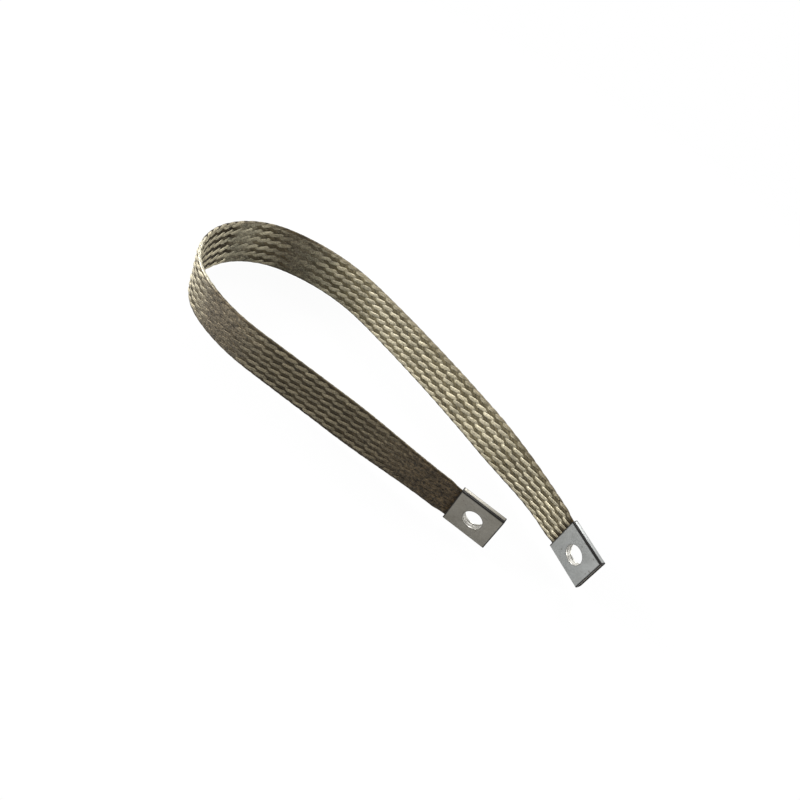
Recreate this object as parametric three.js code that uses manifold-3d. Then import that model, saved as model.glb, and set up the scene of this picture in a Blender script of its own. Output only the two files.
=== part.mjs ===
// Flexible busbar braid: a flat strap of woven tinned wire, standing on its long edge and bent
// into a hairpin, with a folded sheet ferrule pressed on each end and a bolt hole through it.
// Millimetres, +Z up. The strap's two arms run to +X, and the bend is at -X.

import * as THREE from 'three';
import Module from 'manifold-3d';
import { mergeVertices } from 'three/addons/utils/BufferGeometryUtils.js';

const wasm = await Module();
wasm.setup();

// Strap: a tubular braid pressed flat, with two faces joined at the long edges
const nearArmWidth = 23.2;
const bendWidth = 25;
const farArmWidth = 24.2;
const braidThickness = 2.2;
const floatPitch = 5.25;
const columnsPerFace = 12;
const weaveRelief = 0.4;
const mouthFlareLength = 4;
const taperStart = 8;
const taperLength = 48;
const thicknessTaperLength = 12;
const weaveFadeLength = 5;

// Ferrule: a strip of tinned sheet folded round the end, with its seam on the upper narrow side,
// beside the wall that faces the same way at both ends
const ferruleWidth = 18.8;
const ferruleLength = 20.2;
const ferruleThickness = 3.2;
const sheetThickness = 0.7;
const foldRadius = 0.95;
const seamGap = 0.35;
const cornerSteps = 5;

// Bolt hole, punched through both walls and the wire between them
const holeDiameter = 8.5;
const holeEdgeBreak = 0.25;
const holeSides = 56;

// Clearances between the ferrule and the pressed wire
const pressGap = 0.12;
const tipRecess = 0.3;

// Route of the strap's middle line on the floor, from the near tip round the bend to the far tip:
// each stretch is its length and how far it turns, in degrees, with a turn to the right negative
const startHeading = -164.7;
const leadLength = 27.2;
const nearArmLength = 96.7;
const bendEntryLength = 35.8;
const bendNoseLength = 62;
const bendTightLength = 16.7;
const bendExitLength = 51;
const farArmLength = 114.9;
const farHookLength = 22;
const stretches = [
  { length: leadLength, turn: 0 },
  { length: nearArmLength, turn: 1 },
  { length: bendEntryLength, turn: -24 },
  { length: bendNoseLength, turn: -102.1 },
  { length: bendTightLength, turn: -30.6 },
  { length: bendExitLength, turn: -37.5 },
  { length: farArmLength, turn: -9.4 },
  { length: farHookLength, turn: -9.6 },
  { length: leadLength, turn: 0 },
];
const easeLength = 14;
const easeSamples = 9;
const routeStep = 0.5;

const up = new THREE.Vector3(0, 0, 1);
const middleHeight = bendWidth / 2;
const strapLength = stretches.reduce((sum, stretch) => sum + stretch.length, 0);

// Heading in degrees at a length along the route, before the stretches are eased together
function rawHeading(length) {
  let heading = startHeading;
  let start = 0;
  for (const stretch of stretches) {
    const share = THREE.MathUtils.clamp((length - start) / stretch.length, 0, 1);
    heading += stretch.turn * share;
    start += stretch.length;
  }
  return heading;
}

function easedHeading(length) {
  let sum = 0;
  for (let i = 0; i < easeSamples; i += 1) {
    const offset = easeLength * (i / (easeSamples - 1) - 0.5);
    sum += rawHeading(length + offset);
  }
  return THREE.MathUtils.degToRad(sum / easeSamples);
}

// The strap's middle line as a curve, walked in short steps along its heading
class StrapRoute extends THREE.Curve {
  constructor() {
    super();
    this.steps = Math.round(strapLength / routeStep);
    this.stepLength = strapLength / this.steps;
    this.points = [new THREE.Vector3(0, 0, middleHeight)];
    for (let i = 0; i < this.steps; i += 1) {
      const heading = easedHeading((i + 0.5) * this.stepLength);
      const move = new THREE.Vector3(Math.cos(heading), Math.sin(heading), 0);
      this.points.push(this.points[i].clone().addScaledVector(move, this.stepLength));
    }
  }

  getPoint(t, target = new THREE.Vector3()) {
    const place = THREE.MathUtils.clamp(t, 0, 1) * this.steps;
    const index = Math.min(Math.floor(place), this.steps - 1);
    return target.lerpVectors(this.points[index], this.points[index + 1], place - index);
  }

  // Point, direction and sideways direction at a length along the strap
  frameAt(length) {
    const heading = easedHeading(length);
    const tangent = new THREE.Vector3(Math.cos(heading), Math.sin(heading), 0);
    const normal = new THREE.Vector3().crossVectors(up, tangent);
    return { point: this.getPoint(length / strapLength), tangent, normal };
  }
}

const route = new StrapRoute();

// Inner size of the ferrule, which the pressed end of the strap fits
const pocketWidth = ferruleWidth - 2 * sheetThickness;
const pocketThickness = ferruleThickness - 2 * sheetThickness;
const slabWidth = pocketWidth - 2 * pressGap;
const slabThickness = pocketThickness - 2 * pressGap;

// Stations half a float apart, so that each crossing of the weave has a point of its own
const stationCount = 2 * Math.round((strapLength - 2 * tipRecess) / floatPitch);
const stationSpacing = (strapLength - 2 * tipRecess) / stationCount;
const pointsAround = 2 * columnsPerFace;

// Rises from 0 to 1 between two distances from the nearer ferrule's mouth
function riseFromMouth(length, from, to) {
  const fromEnd = Math.min(length, strapLength - length);
  return THREE.MathUtils.smoothstep(fromEnd - ferruleLength, from, to);
}

// Full width of the strap, widest where it stands on the floor round the bend
const bendMiddle = leadLength + nearArmLength + bendEntryLength + bendNoseLength;
function openWidth(length) {
  const nearShare = THREE.MathUtils.smoothstep(length, leadLength + nearArmLength, bendMiddle);
  const farEdge = bendMiddle + bendTightLength + bendExitLength;
  const farShare = THREE.MathUtils.smoothstep(length, bendMiddle, farEdge);
  const entering = THREE.MathUtils.lerp(nearArmWidth, bendWidth, nearShare);
  return THREE.MathUtils.lerp(entering, farArmWidth, farShare);
}

// Width and thickness of the strap, which is pressed into a slab inside the ferrules
function strapSize(length) {
  const flare = riseFromMouth(length, stationSpacing, stationSpacing + mouthFlareLength);
  const mouthWidth = THREE.MathUtils.lerp(slabWidth, ferruleWidth, flare);
  const widen = riseFromMouth(length, taperStart, taperStart + taperLength);
  const thicken = riseFromMouth(length, stationSpacing, thicknessTaperLength);
  return {
    width: THREE.MathUtils.lerp(mouthWidth, openWidth(length), widen),
    thickness: THREE.MathUtils.lerp(slabThickness, braidThickness, thicken),
  };
}

// Section of the strap at one station: points round the flattened tube, alternately high and low
function strapSection(station) {
  const length = tipRecess + station * stationSpacing;
  const { width, thickness } = strapSize(length);
  const relief = weaveRelief * riseFromMouth(length, stationSpacing, weaveFadeLength);
  const { point, normal } = route.frameAt(length);
  const section = [];
  for (let i = 0; i < pointsAround; i += 1) {
    const drop = (station + i) % 2 === 0 ? 0 : relief;
    const onFace = i < columnsPerFace ? i : pointsAround - i;
    const across = 1 - (2 * onFace) / columnsPerFace;
    const isEdge = onFace === 0 || onFace === columnsPerFace;
    const side = i < columnsPerFace ? -1 : 1;
    const height = across * (isEdge ? width - drop : width) / 2;
    const depth = isEdge ? 0 : side * (thickness / 2 - drop);
    section.push(point.clone().addScaledVector(normal, depth).addScaledVector(up, height));
  }
  return section;
}

// Closed skin over the sections, its diagonals set along the slanted floats of the weave
function strapGeometry() {
  const positions = [];
  const indices = [];
  for (let station = 0; station <= stationCount; station += 1) {
    strapSection(station).forEach((point) => positions.push(point.x, point.y, point.z));
  }
  for (let station = 0; station < stationCount; station += 1) {
    for (let i = 0; i < pointsAround; i += 1) {
      const next = (i + 1) % pointsAround;
      const a = station * pointsAround + i;
      const b = station * pointsAround + next;
      const c = a + pointsAround;
      const d = b + pointsAround;
      if (i % 2 === 0) indices.push(a, b, d, a, d, c);
      else indices.push(a, b, c, b, d, c);
    }
  }
  const last = stationCount * pointsAround;
  const half = columnsPerFace;
  for (let i = 0; i < half; i += 1) {
    const j = pointsAround - i;
    const lower = j % pointsAround;
    if (i > 0) {
      indices.push(i, lower, i + 1);
      indices.push(last + i, last + i + 1, last + lower);
    }
    if (i < half - 1) {
      indices.push(lower, j - 1, i + 1);
      indices.push(last + lower, last + i + 1, last + j - 1);
    }
  }
  const geometry = new THREE.BufferGeometry();
  geometry.setAttribute('position', new THREE.Float32BufferAttribute(positions, 3));
  geometry.setIndex(indices);
  return geometry;
}

// Section of the folded ferrule: x through its thickness, y across its width. One wall ends in a
// straight cut at the top, and the sheet goes round the other three corners to meet it at the seam.
function ferruleSection() {
  const innerRadius = foldRadius - sheetThickness;
  const shape = new THREE.Shape();
  const wall = pocketThickness / 2;
  shape.moveTo(wall, ferruleWidth / 2);
  shape.lineTo(ferruleThickness / 2, ferruleWidth / 2);
  addFolds(shape, ferruleThickness / 2, ferruleWidth / 2, foldRadius, true);
  shape.lineTo(wall - seamGap, ferruleWidth / 2);
  shape.lineTo(wall - seamGap, pocketWidth / 2);
  addFolds(shape, wall, pocketWidth / 2, innerRadius, false);
  shape.closePath();
  return shape;
}

// The three folds of the sheet, clockwise outside and back again inside
function addFolds(shape, halfX, halfY, radius, clockwise) {
  const quarterTurn = Math.PI / 2;
  const corners = [[1, -1, 0], [-1, -1, -1], [-1, 1, 2]];
  const ordered = clockwise ? corners : [...corners].reverse();
  for (const [sideX, sideY, quarters] of ordered) {
    const from = quarterTurn * (clockwise ? quarters : quarters - 1);
    const to = quarterTurn * (clockwise ? quarters - 1 : quarters);
    const centreX = sideX * (halfX - radius);
    const centreY = sideY * (halfY - radius);
    shape.absarc(centreX, centreY, radius, from, to, clockwise);
  }
}

// Turns a piece's own axes to the strap's: x through the thickness, y up, z along the strap
function placeOnRoute(geometry, length) {
  const { point, tangent, normal } = route.frameAt(length);
  const place = new THREE.Matrix4().makeBasis(normal, up, tangent).setPosition(point);
  return geometry.applyMatrix4(place);
}

// One ferrule at either end of the strap, turned so that its seam is on the given side
function ferruleGeometry(middleLength, seamSide) {
  const options = { depth: ferruleLength, bevelEnabled: false, curveSegments: cornerSteps };
  const ferrule = new THREE.ExtrudeGeometry(ferruleSection(), options);
  ferrule.translate(0, 0, -ferruleLength / 2);
  if (seamSide < 0) ferrule.rotateY(Math.PI);
  return placeOnRoute(ferrule, middleLength);
}

// The punch that makes a bolt hole, flared at both faces of the ferrule
function punchGeometry(length) {
  const radius = holeDiameter / 2;
  const face = ferruleThickness / 2;
  const beyond = 1;
  const flare = radius + holeEdgeBreak + beyond;
  const profile = [
    new THREE.Vector2(0, -face - beyond),
    new THREE.Vector2(flare, -face - beyond),
    new THREE.Vector2(radius, -face + holeEdgeBreak),
    new THREE.Vector2(radius, face - holeEdgeBreak),
    new THREE.Vector2(flare, face + beyond),
    new THREE.Vector2(0, face + beyond),
  ];
  const punch = new THREE.LatheGeometry(profile, holeSides);
  punch.rotateZ(-Math.PI / 2);
  return placeOnRoute(punch, length);
}

// Closed mesh to solid and back, for the holes
function toSolid(geometry) {
  const bare = geometry.clone();
  bare.deleteAttribute('normal');
  bare.deleteAttribute('uv');
  const merged = mergeVertices(bare, 1e-4);
  const vertProperties = new Float32Array(merged.getAttribute('position').array);
  const triVerts = new Uint32Array(merged.index.array);
  return new wasm.Manifold(new wasm.Mesh({ numProp: 3, vertProperties, triVerts }));
}

function toGeometry(solid) {
  const mesh = solid.getMesh();
  const geometry = new THREE.BufferGeometry();
  geometry.setAttribute('position', new THREE.Float32BufferAttribute(mesh.vertProperties, 3));
  geometry.setIndex(Array.from(mesh.triVerts));
  geometry.computeVertexNormals();
  return geometry;
}

function punched(geometry, lengths) {
  let solid = toSolid(geometry);
  for (const length of lengths) {
    solid = solid.subtract(toSolid(punchGeometry(length)));
  }
  return toGeometry(solid);
}

const nearHole = ferruleLength / 2;
const farHole = strapLength - ferruleLength / 2;

const tinnedBraid = new THREE.MeshStandardMaterial({ color: 0x8d8570, roughness: 0.42, metalness: 0.9 });
const tinnedSheet = new THREE.MeshStandardMaterial({ color: 0x979896, roughness: 0.35, metalness: 0.9 });

function addPiece(group, name, geometry, material) {
  const mesh = new THREE.Mesh(geometry, material.clone());
  mesh.name = name;
  group.add(mesh);
}

// Puts the model's origin under the middle of its box, on the floor
function centreOnFloor(group) {
  const box = new THREE.Box3().setFromObject(group, true);
  const middle = box.getCenter(new THREE.Vector3());
  group.children.forEach((mesh) => mesh.geometry.translate(-middle.x, -middle.y, -box.min.z));
}

const busbarBraid = new THREE.Group();
addPiece(busbarBraid, 'braid', punched(strapGeometry(), [nearHole, farHole]), tinnedBraid);
addPiece(busbarBraid, 'near_ferrule', punched(ferruleGeometry(nearHole, 1), [nearHole]), tinnedSheet);
addPiece(busbarBraid, 'far_ferrule', punched(ferruleGeometry(farHole, -1), [farHole]), tinnedSheet);
centreOnFloor(busbarBraid);

export default busbarBraid;
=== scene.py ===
import math

import bpy
import numpy as np
from mathutils import Matrix, Vector


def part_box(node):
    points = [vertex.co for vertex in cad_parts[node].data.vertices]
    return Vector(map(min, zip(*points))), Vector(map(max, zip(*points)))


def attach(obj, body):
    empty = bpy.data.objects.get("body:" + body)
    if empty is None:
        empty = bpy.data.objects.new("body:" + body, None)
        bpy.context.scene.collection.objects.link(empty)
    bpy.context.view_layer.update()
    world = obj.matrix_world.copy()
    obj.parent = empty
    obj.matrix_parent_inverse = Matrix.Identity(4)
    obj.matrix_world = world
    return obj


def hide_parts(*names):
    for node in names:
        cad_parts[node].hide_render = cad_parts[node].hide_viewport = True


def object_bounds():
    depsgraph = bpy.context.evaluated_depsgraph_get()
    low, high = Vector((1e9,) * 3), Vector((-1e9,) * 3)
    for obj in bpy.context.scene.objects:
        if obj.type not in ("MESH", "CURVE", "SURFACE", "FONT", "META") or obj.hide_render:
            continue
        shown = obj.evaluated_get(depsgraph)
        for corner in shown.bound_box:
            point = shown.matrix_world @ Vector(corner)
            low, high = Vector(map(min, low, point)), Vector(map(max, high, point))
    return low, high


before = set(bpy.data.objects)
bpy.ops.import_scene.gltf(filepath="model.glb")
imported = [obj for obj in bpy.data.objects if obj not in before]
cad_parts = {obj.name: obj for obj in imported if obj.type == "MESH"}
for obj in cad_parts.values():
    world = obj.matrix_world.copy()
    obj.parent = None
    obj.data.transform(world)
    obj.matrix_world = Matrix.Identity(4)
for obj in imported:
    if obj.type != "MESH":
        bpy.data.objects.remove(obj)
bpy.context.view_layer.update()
mm = 0.001
rng = np.random.default_rng(48)

# camera, at the photograph's place and tilt
view = {
    "place": (0.1078, -0.2046, 0.21465),
    "heading": 25.9,     # degrees to the left of +Y
    "pitch": 40.4,       # degrees down
    "roll": 29.97,       # degrees anticlockwise
    "lens": 32.03,
    "sensor": 36.0,
    "clipStart": 5 * mm,
}


def addCamera(settings):
    data = bpy.data.cameras.new("photoCamera")
    data.sensor_fit = "HORIZONTAL"
    data.sensor_width = settings["sensor"]
    data.lens = settings["lens"]
    data.clip_start = settings["clipStart"]
    turn = Matrix.Rotation(math.radians(settings["heading"]), 4, "Z")
    tilt = Matrix.Rotation(math.radians(90 - settings["pitch"]), 4, "X")
    roll = Matrix.Rotation(math.radians(settings["roll"]), 4, "Z")
    camera = bpy.data.objects.new("photoCamera", data)
    camera.matrix_world = Matrix.Translation(settings["place"]) @ turn @ tilt @ roll
    bpy.context.scene.collection.objects.link(camera)
    bpy.context.scene.camera = camera


addCamera(view)
print("camera set")

# route of the strap's middle line, in millimetres and degrees, as the CAD model has it
route = {
    "startHeading": -164.7,
    "stretches": (
        (27.2, 0), (96.7, 1), (35.8, -24), (62, -102.1), (16.7, -30.6),
        (51, -37.5), (114.9, -9.4), (22, -9.6), (27.2, 0)),
    "bendStretches": (1, 3, 5),     # the ones that the near arm, the nose and the bend end with
    "easeLength": 14,
    "easeSamples": 9,
    "step": 0.5,
}

ferrule = {
    "width": 18.8 * mm,
    "length": 20.2 * mm,
    "thickness": 3.2 * mm,
    "sheet": 0.7 * mm,
    "foldRadius": 0.95 * mm,
    "foldSteps": 10,
    "seamGap": 0.35 * mm,
    "holeRadius": 4.25 * mm,
    "holeSides": 72,
    "punchLength": 10 * mm,
    "edgeBreak": 0.1 * mm,
}


def walkRoute(settings):
    lengths, turns = np.array(settings["stretches"], float).T
    ends = np.cumsum(lengths)
    starts = ends - lengths
    total = ends[-1]
    steps = round(total / settings["step"])
    offsets = np.linspace(-0.5, 0.5, settings["easeSamples"]) * settings["easeLength"]

    def headingAt(along):
        spread = along[:, None] + offsets
        share = np.clip((spread[..., None] - starts) / lengths, 0, 1)
        return np.radians((settings["startHeading"] + (share * turns).sum(-1)).mean(-1))

    stations = np.linspace(0, total, steps + 1)
    middles = (stations[:-1] + stations[1:]) / 2
    headings = headingAt(middles)
    moves = np.c_[np.cos(headings), np.sin(headings)] * (total / steps)
    points = np.vstack([[0, 0], np.cumsum(moves, axis=0)])
    return {
        "along": stations * mm,
        "x": points[:, 0] * mm,
        "y": points[:, 1] * mm,
        "heading": headingAt(stations),
        "length": total * mm,
        "ends": ends * mm,
    }


# puts the tip corner of the near ferrule where the CAD box has it
def moveToFerrule(walked):
    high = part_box("near_ferrule")[1]
    heading = walked["heading"][0]
    reach = ferrule["thickness"] / 2
    walked["x"] += high.x - reach * abs(math.sin(heading)) - walked["x"][0]
    walked["y"] += high.y - reach * abs(math.cos(heading)) - walked["y"][0]
    return walked


path = moveToFerrule(walkRoute(route))
bendFrom, bendMiddle, bendTo = (path["ends"][stretch] for stretch in route["bendStretches"])


def routeFrame(along):
    return [np.interp(along, path["along"], path[key]) for key in ("x", "y", "heading")]


print("route walked,", round(path["length"], 4), "m")

# the woven strap: a tube of wire bundles pressed flat, over two and under two
strap = {
    "nearArmWidth": 23.2 * mm,
    "bendWidth": 25 * mm,
    "farArmWidth": 24.2 * mm,
    "thickness": 2.2 * mm,
    "flareFrom": 0.5 * mm,      # these five are measured from a ferrule's mouth
    "flareTo": 6.6 * mm,
    "thickenTo": 12 * mm,
    "taperFrom": 8 * mm,
    "taperTo": 56 * mm,
    "pressGap": 0.12 * mm,
    "slip": 3 * mm,             # how far the woven part reaches into a ferrule
    "columns": 24,              # round the tube, as many as there are bundles in each lay
    "floatPitch": 5.25 * mm,    # how far a bundle runs along the strap as it crosses one column
    "turnNear": 0.12,           # columns that the tube is turned at its near end and at its far end
    "turnFar": 1.1,
    "crowding": 0.1,            # how much closer the columns lie on the outer face than on average
    "foldFlat": 0.55,           # share of its height that a bundle loses where it goes round an edge
    "foldBand": (0.95, 0.992),  # how that sets in towards the edge, which is at 1
    "bundlesPerPiece": 8,
    "cordPoints": 40,
}

# how every bundle of wires is laid
weave = {
    "wires": 7,
    "wireRidge": 0.06 * mm,
    "crownPower": 2.4,                          # a higher power makes the section squarer
    "underPlaces": (0.6, 0, -0.6),              # across the underside, from its middle
    "underDepth": 1 / 3,                        # share of the thickness that lies below the middle
    "widthFor": 2 * mm,                         # column width that the lays' widths are given for
    "pinch": 0.04,                              # share of its width lost where it dives
    "sway": 0.2,                                # how much straighter it runs on top
    "steps": (0.0, 0.12, 0.3, 0.5, 0.7, 0.88),  # sections in each column
    "crossingOffset": 0.25,                     # part of a column that every crossing is moved by
    "liftFlat": 0.72,                           # share of a flat-topped wave in its rise and fall
    "liftSharpness": 2.4,
    "wanderLengths": (3.1 * mm, 5.7 * mm, 11.3 * mm),
    "liftWander": 0.5,                          # share of its lift
    "sideWander": 0.085,                        # in columns
    "toneWander": 0.3,
    "tone": (0.2, 0.8),                         # range from bundle to bundle
    "wireStreak": 0.55,                         # how much stretches of wire differ in tone
}

# Wear, painted shade and painted highlight along the strap. Each list of stops has millimetres from
# the near tip, and a share there.
wear = {
    # tarnish on each face, with painted shadow at each ferrule's mouth, and the bend's painted shadow on
    # the inner face at about 230 to 260 mm
    "outerTarnishAndShade": (
        (20, 1), (22.5, 0.9), (40, 0.84), (60, 0.72), (90, 0.7), (120, 0.66), (150, 0.66),
        (170, 0.26), (180, 0.1), (260, 0.5), (453, 0.5)),
    "innerTarnishAndShade": (
        (200, 0), (216, 0.2), (227, 0.1), (238, 0.42), (250, 0.3), (262, 0), (300, 0), (330, 0.06),
        (384, 0.06), (396, 0.18), (408, 0.16), (420, 0.08), (430, 0.16), (433.3, 0.8)),
    # where handling has rubbed the two lays to one tone
    "outerRubbed": (
        (22, 1), (44, 0.85), (62, 0.3), (78, 0.05), (120, 0.05), (134, 0.8), (144, 0.95),
        (154, 0.85), (168, 0.15), (300, 0.1), (453, 0.3)),
    "innerRubbed": (
        (205, 0), (214, 0.9), (218, 0.75), (226, 0.1), (232, 0.2), (242, 0.9), (250, 0.8),
        (266, 0.05), (453, 0)),
    "rubbedSpread": 5 * mm,     # how much that differs from bundle to bundle
    "rubbedFlat": 0.6,          # share of its height that a bundle loses there
    "faceBlend": 0.2,           # how wide the change is from one face's wear to the other's
    "edgeDarkening": ((0, 0.2), (200, 0.3), (240, 0.5), (453, 0.5)),      # darker along both edges, the more so towards the far end
    "edgeBand": (0.98, 0.997),  # how that sets in towards the edge, which is at 1
    "paintedEdgeHighlight": ((150, 0), (164, 1), (184, 1), (189, 0)),      # painted highlight along the upper edge
    "paintedHighlightBand": (0.995, 0.9995),
}

# On the inner face, going from the near end to the far end, the bundles of one lay rise and those
# of the other fall. The falling ones are the same wire, painted darker as painted shade, since
# their wires face away from the light.
lays = {
    "rising": {
        "hand": 1,
        "width": 1.86 * mm,
        "thickness": 0.6 * mm,
        "lift": 0.28 * mm,
        "above": 0.08 * mm,
        "paintedShadeScale": 1,
        "paintedShade": ((0, 0), (453, 0)),
    },
    "falling": {
        "hand": -1,
        "width": 1.9 * mm,
        "thickness": 0.5 * mm,
        "lift": 0.22 * mm,
        "above": -0.06 * mm,
        # painted shade for the falling lay: its darkening scaled up, and more along the strap, most round
        # the inside of the bend
        "paintedShadeScale": 1.22,
        "paintedShade": (
            (0, 0), (156, 0.05), (168, 0.5), (188, 0.8), (206, 0.9), (212, 0.65), (216, 0.4),
            (230, 0.5), (256, 0.42), (276, 0.12), (290, 0.1), (335, 0.08), (395, 0.1),
            (410, 0.28), (453, 0.35)),
    },
}

pocketWidth = ferrule["width"] - 2 * ferrule["sheet"]
pocketThickness = ferrule["thickness"] - 2 * ferrule["sheet"]
slabWidth = pocketWidth - 2 * strap["pressGap"]
slabThickness = pocketThickness - 2 * strap["pressGap"]
middleHeight = strap["bendWidth"] / 2


def smoothRise(value, start, end):
    share = np.clip((value - start) / (end - start), 0, 1)
    return share * share * (3 - 2 * share)


def atStops(stops, along):
    return np.interp(along / mm, *zip(*stops))


def strapSize(along):
    fromMouth = np.minimum(along, path["length"] - along) - ferrule["length"]
    flare = smoothRise(fromMouth, strap["flareFrom"], strap["flareTo"])
    widen = smoothRise(fromMouth, strap["taperFrom"], strap["taperTo"])
    thicken = smoothRise(fromMouth, strap["flareFrom"], strap["thickenTo"])
    intoBend = smoothRise(along, bendFrom, bendMiddle)
    outOfBend = smoothRise(along, bendMiddle, bendTo)
    openWidth = strap["nearArmWidth"] + (strap["bendWidth"] - strap["nearArmWidth"]) * intoBend
    openWidth += (strap["farArmWidth"] - strap["bendWidth"]) * outOfBend
    mouthWidth = slabWidth + (ferrule["width"] - slabWidth) * flare
    width = mouthWidth + (openWidth - mouthWidth) * widen
    thickness = slabThickness + (strap["thickness"] - slabThickness) * thicken
    return width, thickness


# the flattened tube's wall, along its middle: radius and quarter turn of its ends, length of a
# straight side, and the whole way round
def tubeSize(along):
    width, thickness = strapSize(along)
    radius = thickness / 4
    quarter = math.pi * radius / 2
    straight = width - thickness
    return radius, quarter, straight, 2 * straight + 4 * quarter


# how far round the tube a column lies: 0 at the top, then down the outer face and up the inner one
def shareRound(column, along):
    turned = strap["turnNear"] + (strap["turnFar"] - strap["turnNear"]) * along / path["length"]
    share = (column + turned) / strap["columns"]
    return share + strap["crowding"] * np.cos(2 * math.pi * share) / (2 * math.pi)


# a kind of wear or painted shade that changes along the strap, with stops of its own for each face
def alongFaces(kind, share, along):
    outerness = smoothRise(np.sin(2 * math.pi * share), -wear["faceBlend"], wear["faceBlend"])
    outer = atStops(wear["outer" + kind], along)
    inner = atStops(wear["inner" + kind], along)
    return outer * outerness + inner * (1 - outerness)


# places a point given by its share of the way round, its length along and its height in the wall
def onStrap(share, along, height):
    radius, quarter, straight, girth = tubeSize(along)
    way = np.mod(share, 1) * girth
    angle = math.pi / 2 * np.clip(way / quarter, 0, 1)
    angle += math.pi * np.clip((way - quarter - straight) / (2 * quarter), 0, 1)
    angle += math.pi / 2 * np.clip((way - 3 * quarter - 2 * straight) / quarter, 0, 1)
    centre = straight / 2 - straight * np.clip((way - quarter) / straight, 0, 1)
    centre += straight * np.clip((way - 3 * quarter - straight) / straight, 0, 1)
    flat = 1 - strap["foldFlat"] * smoothRise(np.abs(np.cos(2 * math.pi * share)), *strap["foldBand"])
    reach = radius + height * flat * 4 * radius / strap["thickness"]
    up = centre + reach * np.cos(angle)
    out = reach * np.sin(angle)
    x, y, heading = routeFrame(along)
    return np.stack([x - np.sin(heading) * out, y + np.cos(heading) * out, up + middleHeight], axis=-1)


# across a bundle from -1 to 1, and how high: a crown with a ridge for each wire, and the underside
def bundleSection(lay):
    count = 2 * weave["wires"] + 1
    across = np.linspace(-1, 1, count)
    crown = (1 - np.abs(across) ** weave["crownPower"]) * lay["thickness"] / 2
    ridge = np.where(np.arange(count) % 2 == 1, weave["wireRidge"], 0)
    under = np.array(weave["underPlaces"])
    depth = (1 - np.abs(under) ** weave["crownPower"]) * lay["thickness"] * weave["underDepth"]
    return np.vstack([np.c_[across, crown + ridge], np.c_[under, -depth]])


def liftWave(column):
    wave = np.sin(math.pi * column)
    return weave["liftFlat"] * np.tanh(weave["liftSharpness"] * wave) + (1 - weave["liftFlat"]) * wave


def slowWander(along, scale):
    lengths = weave["wanderLengths"]
    phases = rng.uniform(0, 2 * math.pi, len(lengths))
    waves = [np.sin(along / length + phase) for length, phase in zip(lengths, phases)]
    return scale * sum(waves) / len(lengths)


# sections of one bundle in their order along the strap: how far along, and in which column
def bundleStops(start, lay):
    first = ferrule["length"] - strap["slip"]
    last = path["length"] - first
    reach = strap["columns"] + math.ceil(path["length"] / strap["floatPitch"])
    columns = np.arange(-reach, reach)
    stops = (columns[:, None] + np.array(weave["steps"])).ravel()
    along = lay["hand"] * (stops - start - weave["crossingOffset"]) * strap["floatPitch"]
    keep = (along > first) & (along < last)
    order = np.argsort(along[keep])
    return along[keep][order], stops[keep][order]


# how dark each point is from tarnish and painted shade, and where the painted highlight lies along the
# upper edge
def darkeningAndHighlight(share, along, rubbed, lay):
    age = alongFaces("TarnishAndShade", share, along)
    # painted shade on the falling lay, on top of the rest
    more = (lay["paintedShadeScale"] - 1) * age + atStops(lay["paintedShade"], along)
    edge = np.cos(2 * math.pi * share)
    shiny = atStops(wear["paintedEdgeHighlight"], along) * (edge > 0)
    onEdge = smoothRise(np.abs(edge), *wear["edgeBand"]) * (1 - shiny)
    age += more * (1 - rubbed) + atStops(wear["edgeDarkening"], along) * onEdge
    return np.minimum(age, 1), shiny * smoothRise(edge, *wear["paintedHighlightBand"])


def bundleVertices(start, lay, section):
    along, stops = bundleStops(start, lay)
    columnWidth = tubeSize(along)[3] / strap["columns"]
    sway = lay["hand"] * weave["sway"]
    sidewaysRun = columnWidth * (1 - sway * np.sin(math.pi * stops))
    slant = np.arctan2(sidewaysRun, strap["floatPitch"])[:, None]
    swayed = stops + sway * np.cos(math.pi * stops) / math.pi
    lift = lay["hand"] * liftWave(stops)
    lifted = lay["above"] + lift * lay["lift"] * (1 + slowWander(along, weave["liftWander"]))
    sideways = slowWander(along, weave["sideWander"])
    belly = 1 - weave["pinch"] * np.cos(2 * math.pi * stops)
    halfWidth = lay["width"] / 2 * columnWidth / weave["widthFor"] * belly
    across = section[:, 0] * halfWidth[:, None]
    column = (swayed + sideways)[:, None] + across * np.cos(slant) / columnWidth[:, None]
    alongEach = along[:, None] - lay["hand"] * across * np.sin(slant)
    share = shareRound(column, alongEach)
    rubbed = alongFaces("Rubbed", share, alongEach + rng.uniform(-1, 1) * wear["rubbedSpread"])
    height = (lifted[:, None] + section[:, 1]) * (1 - wear["rubbedFlat"] * rubbed)
    streaks = rng.uniform(-1, 1, share.shape) * weave["wireStreak"] * (1 + rubbed)
    tone = rng.uniform(*weave["tone"]) + slowWander(along, weave["toneWander"])[:, None] + streaks
    age, shiny = darkeningAndHighlight(share, alongEach, rubbed, lay)
    values = {
        "sunk": np.repeat(0.5 - lift[:, None] / 2, len(section), axis=1),
        "across": np.repeat(section[None, :, 0], len(along), axis=0),
        "tone": tone,
        "age": age,
        "rubbed": rubbed,
        "shiny": shiny,
    }
    return onStrap(share, alongEach, height), values


def bundleFaces(rings, around, base):
    ring = np.arange(rings - 1)[:, None] * around
    i = np.arange(around)
    j = (i + 1) % around
    quads = np.stack([ring + i, ring + j, ring + around + j, ring + around + i], axis=-1)
    return quads.reshape(-1, 4) + base


def pieceFrom(name, vertices, faces):
    mesh = bpy.data.meshes.new(name)
    mesh.from_pydata(vertices, [], faces)
    mesh.polygons.foreach_set("use_smooth", np.ones(len(mesh.polygons), bool))
    mesh.update()
    piece = bpy.data.objects.new(name, mesh)
    bpy.context.scene.collection.objects.link(piece)
    return piece


# one value for each point of a piece, which its material reads
def addValues(piece, key, values):
    layer = piece.data.attributes.new(key, "FLOAT", "POINT")
    layer.data.foreach_set("value", np.asarray(values, np.float32))


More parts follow.
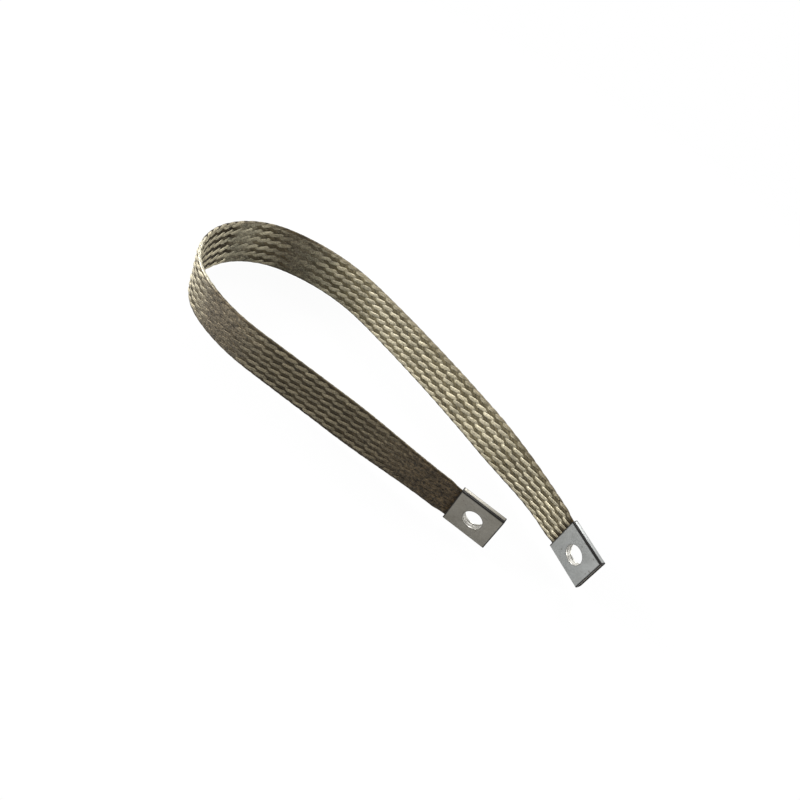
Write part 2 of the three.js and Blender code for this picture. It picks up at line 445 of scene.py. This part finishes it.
def strandPiece(name, bundles, lay):
    section = bundleSection(lay)
    around = len(section)
    vertices, faces, collected = [], [], {}
    base = 0
    for bundle in bundles:
        points, values = bundleVertices(bundle, lay, section)
        rings = len(points)
        quads = bundleFaces(rings, around, base)
        startCap = list(range(base, base + around))
        endCap = [base + rings * around - 1 - k for k in range(around)]
        vertices.append(points.reshape(-1, 3))
        if lay["hand"] > 0:
            faces += quads.tolist() + [startCap[::-1], endCap[::-1]]
        else:
            faces += quads[:, ::-1].tolist() + [startCap, endCap]
        for key, value in values.items():
            collected.setdefault(key, []).append(value.ravel())
        base += rings * around
    piece = pieceFrom(name, np.vstack(vertices).tolist(), faces)
    for key, parts in collected.items():
        addValues(piece, key, np.concatenate(parts))
    return piece


def buildStrands():
    pieces = []
    pieceCount = strap["columns"] // strap["bundlesPerPiece"]
    for layName, lay in lays.items():
        for part in range(pieceCount):
            bundles = range(part, strap["columns"], pieceCount)
            pieces.append(strandPiece(f"{layName}_strands_{part + 1}", bundles, lay))
    return pieces


strands = buildStrands()
print("strap woven,", sum(len(piece.data.polygons) for piece in strands), "faces")

# how the edges of cut pieces are broken and shaded, angles in degrees
edges = {
    "segments": 3,
    "breakAngle": 40,
    "sharpAngle": 32,
}


# x goes through the strap's thickness there, y up and z along it
def placeAt(along):
    x, y, heading = (float(value) for value in routeFrame(along))
    out = Vector((-math.sin(heading), math.cos(heading), 0))
    tangent = Vector((math.cos(heading), math.sin(heading), 0))
    turn = Matrix((out, Vector((0, 0, 1)), tangent)).transposed().to_4x4()
    return Matrix.Translation((x, y, middleHeight)) @ turn


def punchAt(along):
    bpy.ops.mesh.primitive_cylinder_add(
        vertices=ferrule["holeSides"], radius=ferrule["holeRadius"], depth=ferrule["punchLength"])
    punch = bpy.context.object
    punch.matrix_world = placeAt(along) @ Matrix.Rotation(math.pi / 2, 4, "Y")
    return punch


def cutHole(piece, along, edgeBreak):
    punch = punchAt(along)
    cut = piece.modifiers.new("hole", "BOOLEAN")
    cut.operation = "DIFFERENCE"
    cut.solver = "EXACT"
    cut.object = punch
    bevel = piece.modifiers.new("edges", "BEVEL")
    bevel.width = edgeBreak
    bevel.segments = edges["segments"]
    bevel.limit_method = "ANGLE"
    bevel.angle_limit = math.radians(edges["breakAngle"])
    bpy.context.view_layer.update()
    graph = bpy.context.evaluated_depsgraph_get()
    finished = bpy.data.meshes.new_from_object(piece.evaluated_get(graph))
    piece.modifiers.clear()
    piece.data = finished
    bpy.data.objects.remove(punch)
    finished.polygons.foreach_set("use_smooth", np.ones(len(finished.polygons), bool))
    finished.set_sharp_from_angle(angle=math.radians(edges["sharpAngle"]))


# The folded ferrules. One wall ends in a straight cut at the top, and the sheet goes round the
# other three corners and back to it, with the seam beside that wall.
def foldedCorners(halfX, halfY, radius):
    points = []
    for signX, signY, start in ((1, -1, 0), (-1, -1, -90), (-1, 1, 180)):
        for step in range(ferrule["foldSteps"] + 1):
            angle = math.radians(start - 90 * step / ferrule["foldSteps"])
            x = signX * (halfX - radius) + radius * math.cos(angle)
            y = signY * (halfY - radius) + radius * math.sin(angle)
            points.append((x, y))
    return points


def ferruleOutlines():
    halfX, halfY, wall = ferrule["thickness"] / 2, ferrule["width"] / 2, pocketThickness / 2
    flapEnd = wall - ferrule["seamGap"]
    outside = foldedCorners(halfX, halfY, ferrule["foldRadius"])
    inside = foldedCorners(wall, pocketWidth / 2, ferrule["foldRadius"] - ferrule["sheet"])
    outside = [(halfX, halfY)] + outside + [(flapEnd, halfY)]
    inside = [(wall, halfY)] + inside + [(flapEnd, pocketWidth / 2)]
    return outside, inside


def ferrulePiece(name, middleAlong, seamSide):
    outside, inside = ferruleOutlines()
    count = len(outside)
    far = 2 * count
    halfLength = ferrule["length"] / 2
    vertices = [(x, y, z) for z in (-halfLength, halfLength) for x, y in outside + inside]
    faces = []
    for i in range(count - 1):
        o0, o1, i0, i1 = i, i + 1, count + i, count + i + 1
        faces.append((o0, o1, i1, i0))
        faces.append((far + o0, far + i0, far + i1, far + o1))
        faces.append((o0, far + o0, far + o1, o1))
        faces.append((i0, i1, far + i1, far + i0))
    for i in (0, count - 1):
        quad = (i, count + i, far + count + i, far + i)
        faces.append(quad if i == 0 else quad[::-1])
    turn = Matrix.Identity(4) if seamSide > 0 else Matrix.Rotation(math.pi, 4, "Y")
    place = placeAt(middleAlong) @ turn
    piece = pieceFrom(name, vertices, faces)
    piece.data.transform(place)
    cutHole(piece, middleAlong, ferrule["edgeBreak"])
    back = place.inverted()
    for axis, key in enumerate(("through", "across", "lengthwise")):
        addValues(piece, key, [(back @ point.co)[axis] for point in piece.data.vertices])
    return piece


farEnd = path["length"]
nearHole = ferrule["length"] / 2
farHole = farEnd - nearHole
nearFerrule = ferrulePiece("near_ferrule_sheet", nearHole, 1)
farFerrule = ferrulePiece("far_ferrule_sheet", farHole, -1)
print("ferrules folded")

# the pressed wire inside each ferrule, seen at its cut end and in the hole
core = {
    "tipRecess": 0.3 * mm,
    "mouthRecess": 0.4 * mm,
    "edgeBreak": 0.25 * mm,
}


def corePiece(name, startAlong, endAlong, holeAlong):
    bpy.ops.mesh.primitive_cube_add(size=1)
    piece = bpy.context.object
    piece.name = name
    size = Matrix.Diagonal((slabThickness, slabWidth, endAlong - startAlong, 1))
    piece.data.transform(placeAt((startAlong + endAlong) / 2) @ size)
    cutHole(piece, holeAlong, core["edgeBreak"])
    back = placeAt(holeAlong).inverted()
    places = [back @ point.co for point in piece.data.vertices]
    addValues(piece, "fromHole", [math.hypot(place.y, place.z) for place in places])
    return piece


coreEnd = ferrule["length"] - core["mouthRecess"]
nearCore = corePiece("near_pressed_wire", core["tipRecess"], coreEnd, nearHole)
farCore = corePiece("far_pressed_wire", farEnd - coreEnd, farEnd - core["tipRecess"], farHole)
print("pressed ends made")


# shader helpers, of which those after addNode return the socket that their node puts out
def newMaterial(name):
    material = bpy.data.materials.new(name)
    material.use_nodes = True
    material.node_tree.nodes.clear()
    return material, material.node_tree


def addNode(tree, kind, inputs=None, **settings):
    node = tree.nodes.new(kind)
    for key, value in settings.items():
        setattr(node, key, value)
    for key, value in (inputs or {}).items():
        if isinstance(value, bpy.types.NodeSocket):
            tree.links.new(value, node.inputs[key])
        else:
            node.inputs[key].default_value = value
    return node


def calc(tree, operation, *values):
    return addNode(tree, "ShaderNodeMath", dict(enumerate(values)), operation=operation).outputs[0]


# low where the value is at start, high where it is at end, and no further outside them
def ramp(tree, value, start, end, low=0.0, high=1.0):
    return addNode(tree, "ShaderNodeMapRange", {
        "Value": value, "From Min": start, "From Max": end, "To Min": low, "To Max": high}).outputs[0]


def noise(tree, place, scale, detail, roughness):
    return addNode(tree, "ShaderNodeTexNoise", {
        "Vector": place, "Scale": scale, "Detail": detail, "Roughness": roughness}).outputs["Fac"]


def mixColors(tree, share, first, second, blend="MIX"):
    return addNode(tree, "ShaderNodeMix", {0: share, 6: first, 7: second},
                   data_type="RGBA", blend_type=blend).outputs[2]


def mixValues(tree, share, first, second):
    return addNode(tree, "ShaderNodeMix", {0: share, 2: first, 3: second}).outputs[0]


def readAttribute(tree, key):
    return addNode(tree, "ShaderNodeAttribute", attribute_name=key).outputs["Fac"]


def objectPlace(tree):
    return addNode(tree, "ShaderNodeTexCoord").outputs["Object"]


# tarnish that dulls and yellows tinned metal in soft patches, with a fine grain
tarnishLook = {
    "patchNoise": (4.0, 0.6),       # detail and roughness
    "patchRamp": (0.36, 0.68),
    "grainNoise": (3.0, 0.65),
    "grainRamp": (0.3, 0.75),
    "roughnessRise": 0.14,
}


def tarnishGroup():
    group = bpy.data.node_groups.new("tarnish", "ShaderNodeTree")
    sockets = (
        ("Clean", "INPUT", "Color"), ("Tarnished", "INPUT", "Color"), ("Patch Scale", "INPUT", "Float"),
        ("Grain Scale", "INPUT", "Float"), ("Amount", "INPUT", "Float"), ("Roughness", "INPUT", "Float"),
        ("Color", "OUTPUT", "Color"), ("Roughness", "OUTPUT", "Float"), ("Height", "OUTPUT", "Float"))
    for name, direction, kind in sockets:
        group.interface.new_socket(name, in_out=direction, socket_type=f"NodeSocket{kind}")
    entry = group.nodes.new("NodeGroupInput").outputs
    leave = group.nodes.new("NodeGroupOutput").inputs
    place = objectPlace(group)
    patch = noise(group, place, entry["Patch Scale"], *tarnishLook["patchNoise"])
    grain = noise(group, place, entry["Grain Scale"], *tarnishLook["grainNoise"])
    spread = ramp(group, patch, *tarnishLook["patchRamp"])
    fine = ramp(group, grain, *tarnishLook["grainRamp"])
    share = calc(group, "MULTIPLY", calc(group, "ADD", spread, fine), entry["Amount"])
    color = mixColors(group, share, entry["Clean"], entry["Tarnished"])
    rough = calc(group, "MULTIPLY_ADD", fine, tarnishLook["roughnessRise"], entry["Roughness"])
    for key, value in (("Color", color), ("Roughness", rough), ("Height", fine)):
        group.links.new(value, leave[key])
    return group


tarnish = tarnishGroup()


# the tarnish group in a material, with the tints and the settings of its finish
def useTarnish(tree, tint, finish):
    node = tree.nodes.new("ShaderNodeGroup")
    node.node_tree = tarnish
    values = {
        "Clean": tint["clean"], "Tarnished": tint["tarnished"], "Patch Scale": finish["patchScale"],
        "Grain Scale": finish["grainScale"], "Amount": finish["amount"], "Roughness": finish["roughness"]}
    for key, value in values.items():
        node.inputs[key].default_value = value
    return node


# the material's own shader, with its fine relief
def addShader(tree, color, roughness, height, finish):
    bump = addNode(tree, "ShaderNodeBump", {
        "Strength": finish["bump"], "Distance": finish["bumpDepth"], "Height": height})
    shader = addNode(tree, "ShaderNodeBsdfPrincipled", {
        "Base Color": color, "Metallic": finish["metallic"],
        "Roughness": roughness, "Normal": bump.outputs["Normal"]})
    addNode(tree, "ShaderNodeOutputMaterial", {"Surface": shader.outputs[0]})


# A noise has scale, detail and roughness. A ramp has start and end, and low and high too where
# these aren't 0 and 1.
braidFinish = {
    # the falling lay is the same tinned wire as the rising one, painted darker as painted shade
    "rising": {"clean": (0.65, 0.6, 0.45, 1), "tarnished": (0.44, 0.39, 0.265, 1)},
    "falling": {"clean": (0.235, 0.202, 0.123, 1), "tarnished": (0.145, 0.121, 0.066, 1)},
    # the tint that tarnish and painted shade darken the wire towards
    "tarnishAndShadeTint": (0.08, 0.05, 0.0, 1),
    # colour of the painted highlight along the upper edge
    "shiny": (0.34, 0.32, 0.25, 1),
    # dark colour for lines along the wires, and for painted shade with some grime at the bundles' sides
    # and dives
    "shadeAndGrime": (0.022, 0.017, 0.01, 1),
    "rubbedClean": (0.29, 0.28, 0.205, 1),
    "rubbedOld": (0.31, 0.25, 0.182, 1),
    "patchScale": 45.0,
    "grainScale": 1100.0,
    "amount": 0.5,
    "roughness": 0.44,
    "metallic": 0.7,
    "bump": 0.8,
    "bumpDepth": 0.08 * mm,
    "wireRamp": (-1.0, 0.6, 0.0, 0.3),          # darker and lighter lines along the wires
    "diveRamp": (0.55, 1.0, 0.0, 0.9),          # painted shade, with some grime, where a bundle dives under others
    "rimRamp": (0.78, 1.0, 0.0, 0.55),          # painted shade, with some grime, along its two sides
    "rubbedRamp": (0.0, 1.0, 1.0, 0.2),         # how much of the last two is left when rubbed
    "streakRamp": (-0.4, 1.4, 0.5, 1.5),
    "speckleNoise": (1700.0, 3.0, 0.8),
    "speckleRamp": (0.3, 0.7, 0.4, 1.55),
    "mottleNoise": (850.0, 4.0, 0.7),
    "mottleRamp": (0.38, 0.62, 0.1, 1.9),
}


# dark lines along the wires and, where it isn't rubbed off, painted shade with some grime at a bundle's
# sides and dives
def shadeAndGrimeMask(tree, rubbed):
    across = readAttribute(tree, "across")
    wave = calc(tree, "MULTIPLY", across, math.pi * weave["wires"])
    lined = ramp(tree, calc(tree, "COSINE", wave), *braidFinish["wireRamp"])
    deep = ramp(tree, readAttribute(tree, "sunk"), *braidFinish["diveRamp"])
    rim = ramp(tree, calc(tree, "ABSOLUTE", across), *braidFinish["rimRamp"])
    kept = ramp(tree, rubbed, *braidFinish["rubbedRamp"])
    shadowed = calc(tree, "MULTIPLY", calc(tree, "MAXIMUM", deep, rim), kept)
    return calc(tree, "MAXIMUM", shadowed, lined)


# tinned wire: yellowed tin, speckled and streaked, with coarser mottling where it is old and rubbed;
# darkened by tarnish and painted shade, with a painted highlight along the upper edge
def wireMaterial(lay):
    material, tree = newMaterial(f"{lay}TinnedWire")
    node = useTarnish(tree, braidFinish[lay], braidFinish)
    place = objectPlace(tree)
    rubbed = readAttribute(tree, "rubbed")
    age = readAttribute(tree, "age")
    speckle = noise(tree, place, *braidFinish["speckleNoise"])
    speckled = ramp(tree, speckle, *braidFinish["speckleRamp"])
    mottled = ramp(tree, noise(tree, place, *braidFinish["mottleNoise"]), *braidFinish["mottleRamp"])
    streaked = ramp(tree, readAttribute(tree, "tone"), *braidFinish["streakRamp"])
    grain = mixValues(tree, calc(tree, "MULTIPLY", rubbed, age), speckled, mottled)
    shade = calc(tree, "MULTIPLY", grain, streaked)
    worn = mixColors(tree, age, braidFinish["rubbedClean"], braidFinish["rubbedOld"])
    evened = mixColors(tree, rubbed, node.outputs["Color"], worn)
    varied = mixColors(tree, 1.0, evened, shade, "MULTIPLY")
    # darkened by tarnish and by painted shade
    tarnishedAndShaded = mixColors(tree, age, varied, braidFinish["tarnishAndShadeTint"], "MULTIPLY")
    shadedAndGrimy = mixColors(tree, shadeAndGrimeMask(tree, rubbed), tarnishedAndShaded, braidFinish["shadeAndGrime"])
    # painted highlight along the upper edge
    color = mixColors(tree, readAttribute(tree, "shiny"), shadedAndGrimy, braidFinish["shiny"])
    addShader(tree, color, node.outputs["Roughness"], speckle, braidFinish)
    return material


ferruleFinish = {
    # the near sheet is darker and browner than the far one: painted shade, and some tarnish of its own
    "near": {"clean": (0.21, 0.2, 0.175, 1), "tarnished": (0.15, 0.14, 0.115, 1)},
    "far": {"clean": (0.32, 0.33, 0.325, 1), "tarnished": (0.25, 0.255, 0.245, 1)},
    # near black: painted shade along the sheet's edges and in a ring round the hole
    "cut": (0.012, 0.011, 0.01, 1),
    # painted highlight on the punched hole's wall
    "holeWallHighlight": (0.38, 0.37, 0.34, 1),
    "stain": (0.1, 0.085, 0.07, 1),
    "patchScale": 160.0,
    "grainScale": 1500.0,
    "amount": 0.45,
    "roughness": 0.36,
    "metallic": 0.85,
    "bump": 0.25,
    "bumpDepth": 0.03 * mm,
    "rubStretch": (300.0, 300.0, 4200.0),
    "rubNoise": (1.0, 3.0, 0.6),
    "spotNoise": (420.0, 2.0, 0.5),
    "spotRamp": (0.66, 0.74, 0.0, 0.7),
    # where the painted edge shade starts and is full, measured inwards from each edge of the ferrule
    "cutEnds": (0.65 * mm, 0.25 * mm),
    "cutTop": (1.0 * mm, 0.45 * mm),
    "cutSeam": (0.2 * mm, 0.0),     # from the inner face of the wall that ends in a cut
    "cutBottom": (0.7 * mm, 0.1 * mm),
    # the same outwards from the hole: a ring of painted shade round it, and a painted highlight on its
    # wall
    "holeRing": (0.4 * mm, 0.1 * mm),
    "holeRingShare": 0.6,
    "holeHighlight": (0.07 * mm, 0.02 * mm),
}


def inwards(tree, value, edge, distances):
    return ramp(tree, value, edge - distances[0], edge - distances[1])


def outwards(tree, value, edge, distances, high=1.0):
    return ramp(tree, value, edge + distances[0], edge + distances[1], 0.0, high)


# painted shade along the ferrule's edges: both cut ends, the seam and the lower fold
def edgeShadeMask(tree, through, across, lengthwise):
    fromMiddle = calc(tree, "ABSOLUTE", lengthwise)
    downwards = calc(tree, "MULTIPLY", across, -1.0)
    ends = inwards(tree, fromMiddle, ferrule["length"] / 2, ferruleFinish["cutEnds"])
    top = inwards(tree, across, ferrule["width"] / 2, ferruleFinish["cutTop"])
    bottom = inwards(tree, downwards, ferrule["width"] / 2, ferruleFinish["cutBottom"])
    wallSide = inwards(tree, through, pocketThickness / 2, ferruleFinish["cutSeam"])
    seam = calc(tree, "MULTIPLY", top, wallSide)
    return calc(tree, "MAXIMUM", calc(tree, "MAXIMUM", ends, seam), bottom)


# pressed tinned sheet: satin grey, with soft stains and fine rub marks along the press direction,
# painted shade along its edges and in a ring round the hole, and a painted highlight on the hole's wall
def sheetMaterial(end):
    material, tree = newMaterial(f"{end}PressedTin")
    node = useTarnish(tree, ferruleFinish[end], ferruleFinish)
    place = objectPlace(tree)
    stretched = addNode(tree, "ShaderNodeMapping", {"Vector": place, "Scale": ferruleFinish["rubStretch"]})
    rub = noise(tree, stretched.outputs[0], *ferruleFinish["rubNoise"])
    stained = ramp(tree, noise(tree, place, *ferruleFinish["spotNoise"]), *ferruleFinish["spotRamp"])
    through, across, lengthwise = (
        readAttribute(tree, key) for key in ("through", "across", "lengthwise"))
    squares = [calc(tree, "POWER", value, 2.0) for value in (across, lengthwise)]
    fromHole = calc(tree, "SQRT", calc(tree, "ADD", *squares))
    ring = outwards(tree, fromHole, ferrule["holeRadius"], ferruleFinish["holeRing"],
                    ferruleFinish["holeRingShare"])
    inHole = outwards(tree, fromHole, ferrule["holeRadius"], ferruleFinish["holeHighlight"])
    spotted = mixColors(tree, stained, node.outputs["Color"], ferruleFinish["stain"])
    paintedEdgeShade = edgeShadeMask(tree, through, across, lengthwise)
    # painted shade along the edges
    edged = mixColors(tree, paintedEdgeShade, spotted, ferruleFinish["cut"])
    # painted shade in a ring round the hole, then the painted highlight on its wall
    ringed = mixColors(tree, ring, edged, ferruleFinish["cut"])
    color = mixColors(tree, inHole, ringed, ferruleFinish["holeWallHighlight"])
    height = calc(tree, "ADD", rub, node.outputs["Height"])
    addShader(tree, color, node.outputs["Roughness"], height, ferruleFinish)
    return material


coreFinish = {
    "clean": (0.3, 0.26, 0.19, 1),
    "tarnished": (0.16, 0.12, 0.08, 1),
    "joint": (0.02, 0.016, 0.012, 1),
    "patchScale": 300.0,
    "grainScale": 2500.0,
    "amount": 0.5,
    "roughness": 0.45,
    "metallic": 0.5,
    "bump": 0.7,
    "bumpDepth": 0.06 * mm,
    "wireScale": 3600.0,
    "wireScatter": 0.6,
    "jointRamp": (0.35, 0.62),
    "holeHighlight": (0.4 * mm, 0.0),
}


# pressed wire seen end on: close-packed bright wire ends with dark joints, and a painted highlight where
# it shows in the hole
def coreMaterial():
    material, tree = newMaterial("cutWireEnds")
    node = useTarnish(tree, coreFinish, coreFinish)
    cells = addNode(tree, "ShaderNodeTexVoronoi", {
        "Vector": objectPlace(tree), "Scale": coreFinish["wireScale"],
        "Randomness": coreFinish["wireScatter"]})
    joint = ramp(tree, cells.outputs["Distance"], *coreFinish["jointRamp"])
    ends = mixColors(tree, joint, node.outputs["Color"], coreFinish["joint"])
    fromHole = readAttribute(tree, "fromHole")
    inHole = outwards(tree, fromHole, ferrule["holeRadius"], coreFinish["holeHighlight"])
    # painted highlight on the wire where it shows in the hole
    color = mixColors(tree, inHole, ends, ferruleFinish["holeWallHighlight"])
    addShader(tree, color, node.outputs["Roughness"], calc(tree, "SUBTRACT", 1.0, joint), coreFinish)
    return material


def dress(pieces, material, node):
    for piece in pieces:
        piece.data.materials.clear()
        piece.data.materials.append(material)
        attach(piece, "root")
        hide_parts(node)


for layName in lays:
    layPieces = [piece for piece in strands if piece.name.startswith(layName)]
    dress(layPieces, wireMaterial(layName), "braid")
dress([nearFerrule], sheetMaterial("near"), "near_ferrule")
dress([farFerrule], sheetMaterial("far"), "far_ferrule")
dress([nearCore, farCore], coreMaterial(), "braid")
print("pieces dressed")


# floor, world and lamps, with places and sizes in metres and power in watts
studio = {
    "floorSize": 6.0,
    "floorDrop": 0.1 * mm,      # below the strap, so that the two never flicker
    "floorColor": (0.86, 0.86, 0.86, 1),
    "white": (1, 1, 1, 1),
    "whiteToCamera": 0.96,      # how much plain white the camera sees in the floor by the strap
    "fade": (0.25, 0.7),        # where that starts to rise, and where the floor is all white
    "whiteInMetal": 0.3,        # how much of it the metal mirrors
    "worldLevel": 0.3,
    "worldInMetal": 1.0,
    "lamps": {
        "keyLamp": {"place": (-0.82, -0.27, 0.32), "size": 0.25, "power": 13},
        "frontLamp": {"place": (-0.65, -0.5, 0.38), "size": 0.3, "power": 3.5},
        "sideLamp": {"place": (0.72, 0.48, 0.35), "size": 0.3, "power": 5.5},
        "backLamp": {"place": (-0.33, 0.68, 0.63), "size": 0.5, "power": 7},
    },
}


# camera rays, and rays that are mirrored or let through
def seenRays(tree):
    rays = tree.nodes.new("ShaderNodeLightPath").outputs
    return rays["Is Camera Ray"], calc(tree, "MAXIMUM", rays["Is Glossy Ray"], rays["Is Transmission Ray"])


def floorMaterial():
    material, tree = newMaterial("paleFloor")
    plain = addNode(tree, "ShaderNodeBsdfDiffuse", {"Color": studio["floorColor"]})
    white = addNode(tree, "ShaderNodeEmission", {"Color": studio["white"], "Strength": 1.0})
    distance = addNode(tree, "ShaderNodeVectorMath", {0: objectPlace(tree)}, operation="LENGTH")
    toCamera = ramp(tree, distance.outputs["Value"], *studio["fade"], studio["whiteToCamera"])
    direct, mirrored = seenRays(tree)
    dimmed = calc(tree, "MULTIPLY", mirrored, studio["whiteInMetal"])
    share = calc(tree, "MAXIMUM", calc(tree, "MULTIPLY", direct, toCamera), dimmed)
    mix = addNode(tree, "ShaderNodeMixShader", {0: share, 1: plain.outputs[0], 2: white.outputs[0]})
    addNode(tree, "ShaderNodeOutputMaterial", {"Surface": mix.outputs[0]})
    return material


def addFloor():
    bpy.ops.mesh.primitive_plane_add(size=studio["floorSize"])
    floor = bpy.context.object
    floor.name = "floor"
    floor.location.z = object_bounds()[0][2] - studio["floorDrop"]
    floor.data.materials.append(floorMaterial())


def addWorld():
    world = bpy.data.worlds.new("studio")
    bpy.context.scene.world = world
    world.use_nodes = True
    tree = world.node_tree
    tree.nodes.clear()
    dim, shown, white = (
        addNode(tree, "ShaderNodeBackground", {"Color": studio["white"], "Strength": level}).outputs[0]
        for level in (studio["worldLevel"], studio["worldInMetal"], 1.0))
    direct, mirrored = seenRays(tree)
    inner = addNode(tree, "ShaderNodeMixShader", {0: mirrored, 1: dim, 2: shown})
    outer = addNode(tree, "ShaderNodeMixShader", {0: direct, 1: inner.outputs[0], 2: white})
    addNode(tree, "ShaderNodeOutputWorld", {"Surface": outer.outputs[0]})


# every lamp faces the origin
def addLamp(name, place, size, power):
    data = bpy.data.lights.new(name, "AREA")
    data.size = size
    data.energy = power
    lamp = bpy.data.objects.new(name, data)
    lamp.location = place
    lamp.rotation_euler = (-Vector(place)).to_track_quat("-Z", "Y").to_euler()
    bpy.context.scene.collection.objects.link(lamp)


addFloor()
addWorld()
for lampName, lamp in studio["lamps"].items():
    addLamp(lampName, **lamp)
bpy.context.scene.view_settings.view_transform = "Standard"
print("studio lit")
